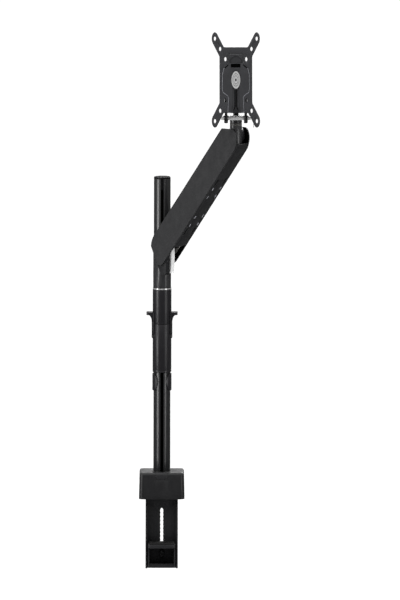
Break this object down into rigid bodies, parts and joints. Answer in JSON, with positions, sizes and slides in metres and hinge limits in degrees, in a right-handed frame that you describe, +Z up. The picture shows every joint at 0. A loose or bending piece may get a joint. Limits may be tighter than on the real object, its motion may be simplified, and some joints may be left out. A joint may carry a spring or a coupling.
{
  "type": "monitor arm",
  "caption": "Monitor arm: a clamped column carries a height sleeve, a spring-lifted swivelling arm with a levelling link, and a panning, tilting and rolling plate.",
  "frame": {"origin": "on the column's axis, on the desk surface that the clamp stands on", "axes": "+Z up along the column, +X to the right and -Y the way the monitor faces"},
  "size_m": [0.2873, 0.2154, 0.6511],
  "materials": {
    "black_shell": "fine grained moulding",
    "black_trim": "fine grained moulding",
    "rubber": "ribbed",
    "black_steel": "black powder coat",
    "pole_black": "semi-gloss black anodised extrusion",
    "charcoal": "matte charcoal",
    "sleeve_plastic": "satin charcoal",
    "polymer": "natural polymer",
    "clip_plastic": "pale moulding",
    "bright_steel": "turned steel",
    "pale_steel": "zinc plated plate",
    "zinc": "zinc plated",
    "black_screw": "black oxide",
    "cast": "black coated casting",
    "cam_face": "machined running face",
    "disc_metal": "turned face",
    "bronze": "sintered bronze"
  },
  "bodies": {
    "stand": {"base_plate": "black_steel", "desk_pad_upper": "rubber", "clamp_cover": "black_shell", "cover_inset": "black_trim", "pole_socket": "black_steel", "pole": "pole_black", "pole_screws": "zinc", "pole_cap": "black_shell"},
    "spine": {"spine": "black_steel", "spine_nut": "zinc"},
    "clamp_screw": {"clamp_screw": "black_screw"},
    "jaw": {"lower_jaw": "black_steel", "jaw_pad": "rubber", "jaw_bolt": "black_screw", "jaw_knob": "black_shell"},
    "stop_clip": {"stop_clip": "sleeve_plastic"},
    "sleeve": {"sleeve_lower": "sleeve_plastic", "sleeve_upper": "sleeve_plastic", "glide_bushes": "polymer", "swivel_washer": "bright_steel", "lever_pins": "zinc"},
    "lever_left": {"lever_left": "sleeve_plastic", "brake_pad_left": "rubber"},
    "lever_right": {"lever_right": "sleeve_plastic", "brake_pad_right": "rubber"},
    "hub": {"hub": "cast", "lift_cam": "cam_face"},
    "arm": {"arm_channel": "charcoal", "side_cover_near": "charcoal", "side_cover_far": "charcoal", "lower_cover": "black_shell", "cover_clips": "clip_plastic", "lower_bushes": "bronze", "upper_bushes": "bronze", "lift_spring": "zinc", "tension_block": "cast"},
    "plunger": {"plunger": "zinc"},
    "cam_roller": {"cam_roller": "bright_steel"},
    "spring_seat": {"spring_seat": "zinc"},
    "tension_screw": {"tension_screw": "black_screw"},
    "levelling_link": {"levelling_link": "zinc"},
    "knuckle": {"knuckle": "cast", "knuckle_pin": "zinc", "pan_washer": "polymer", "pan_bolt": "black_screw"},
    "head": {"neck_collar": "cast", "head_bar": "pale_steel", "level_screws": "black_screw", "level_washers": "black_screw", "tilt_yoke": "black_steel", "tilt_pin": "black_screw", "tilt_nuts": "black_screw"},
    "tilt": {"tilt_block": "cast"},
    "plate": {"roll_spindle": "black_screw", "adapter_plate": "black_steel", "monitor_plate": "black_steel", "plate_cover": "black_shell", "centre_disc": "disc_metal"},
    "latch": {"release_latch": "black_trim"}
  },
  "joints": [
    {"name": "clamp_turn", "type": "hinge", "parent": "stand", "child": "clamp_screw", "pos_m": [0, 0.0296, 0.018], "axis": [0, 0, -1], "range_deg": [0, 1729]},
    {"name": "spine_lift", "type": "slide", "parent": "stand", "child": "spine", "axis": [0, 0, 1], "range_m": [0, 0.006]},
    {"name": "jaw_height", "type": "slide", "parent": "spine", "child": "jaw", "axis": [0, 0, 1], "range_m": [0, 0.045]},
    {"name": "clip_slide", "type": "slide", "parent": "stand", "child": "stop_clip", "axis": [0, 0, 1], "range_m": [-0.09, 0]},
    {"name": "height_slide", "type": "slide", "parent": "stand", "child": "sleeve", "axis": [0, 0, 1], "range_m": [0, 0.058]},
    {"name": "lever_left_open", "type": "hinge", "parent": "sleeve", "child": "lever_left", "pos_m": [-0.0226, 0, 0.1908], "axis": [0, -1, 0], "range_deg": [0, 10], "stiffness_Nm_per_rad": 0.5, "springref_deg": -8.59},
    {"name": "lever_right_open", "type": "hinge", "parent": "sleeve", "child": "lever_right", "pos_m": [0.0226, 0, 0.1908], "axis": [0, 1, 0], "range_deg": [0, 10], "stiffness_Nm_per_rad": 0.5, "springref_deg": -8.59},
    {"name": "arm_swivel", "type": "hinge", "parent": "sleeve", "child": "hub", "pos_m": [0, 0, 0.275], "axis": [0, 0, 1], "continuous": true},
    {"name": "arm_lift", "type": "hinge", "parent": "hub", "child": "arm", "pos_m": [0.00566, -0.00411, 0.294], "axis": [-0.5878, -0.809, 0], "range_deg": [-44.4, 7.6]},
    {"name": "link_swing", "type": "hinge", "parent": "hub", "child": "levelling_link", "pos_m": [0.01871, 0.01385, 0.2805], "axis": [-0.5878, -0.809, 0], "range_deg": [-44.4, 7.6]},
    {"name": "plunger_slide", "type": "slide", "parent": "arm", "child": "plunger", "axis": [0.6675, -0.485, 0.565], "range_m": [-0.0008, 0.0045]},
    {"name": "roller_spin", "type": "hinge", "parent": "plunger", "child": "cam_roller", "pos_m": [0.02407, -0.01749, 0.30958], "axis": [-0.5878, -0.809, 0], "range_deg": [-172, 30]},
    {"name": "tension_turn", "type": "hinge", "parent": "arm", "child": "tension_screw", "pos_m": [0.1405, -0.10208, 0.40812], "axis": [0.6675, -0.485, 0.565], "range_deg": [0, 1921]},
    {"name": "seat_slide", "type": "slide", "parent": "arm", "child": "spring_seat", "axis": [-0.6675, 0.485, -0.565], "range_m": [0, 0.008]},
    {"name": "knuckle_level", "type": "hinge", "parent": "arm", "child": "knuckle", "pos_m": [0.17588, -0.12779, 0.43807], "axis": [-0.5878, -0.809, 0], "range_deg": [-7.6, 44.4]},
    {"name": "head_pan", "type": "hinge", "parent": "knuckle", "child": "head", "pos_m": [0.17588, -0.12779, 0.457], "axis": [0, 0, -1], "range_deg": [-90, 90]},
    {"name": "head_tilt", "type": "hinge", "parent": "head", "child": "tilt", "pos_m": [0.17588, -0.15079, 0.488], "axis": [1, 0, 0], "range_deg": [-35, 15]},
    {"name": "plate_roll", "type": "hinge", "parent": "tilt", "child": "plate", "pos_m": [0.17588, -0.16479, 0.5093], "axis": [0, 1, 0], "range_deg": [-90, 90]},
    {"name": "latch_slide", "type": "slide", "parent": "plate", "child": "latch", "axis": [0, 0, -1], "range_m": [0, 0.004], "stiffness_N_per_m": 200, "springref_m": -0.002}
  ],
  "couplings": [
    {"joint": "clamp_turn", "follows": "spine_lift", "rad_per_m": 5026.5},
    {"joint": "link_swing", "follows": "arm_lift", "ratio": 1},
    {"joint": "knuckle_level", "follows": "arm_lift", "ratio": -1},
    {"joint": "plunger_slide", "follows": "arm_lift", "m_per_rad": -0.0057296},
    {"joint": "roller_spin", "follows": "arm_lift", "ratio": 3.83},
    {"joint": "tension_turn", "follows": "seat_slide", "rad_per_m": 4188.8}
  ]
}
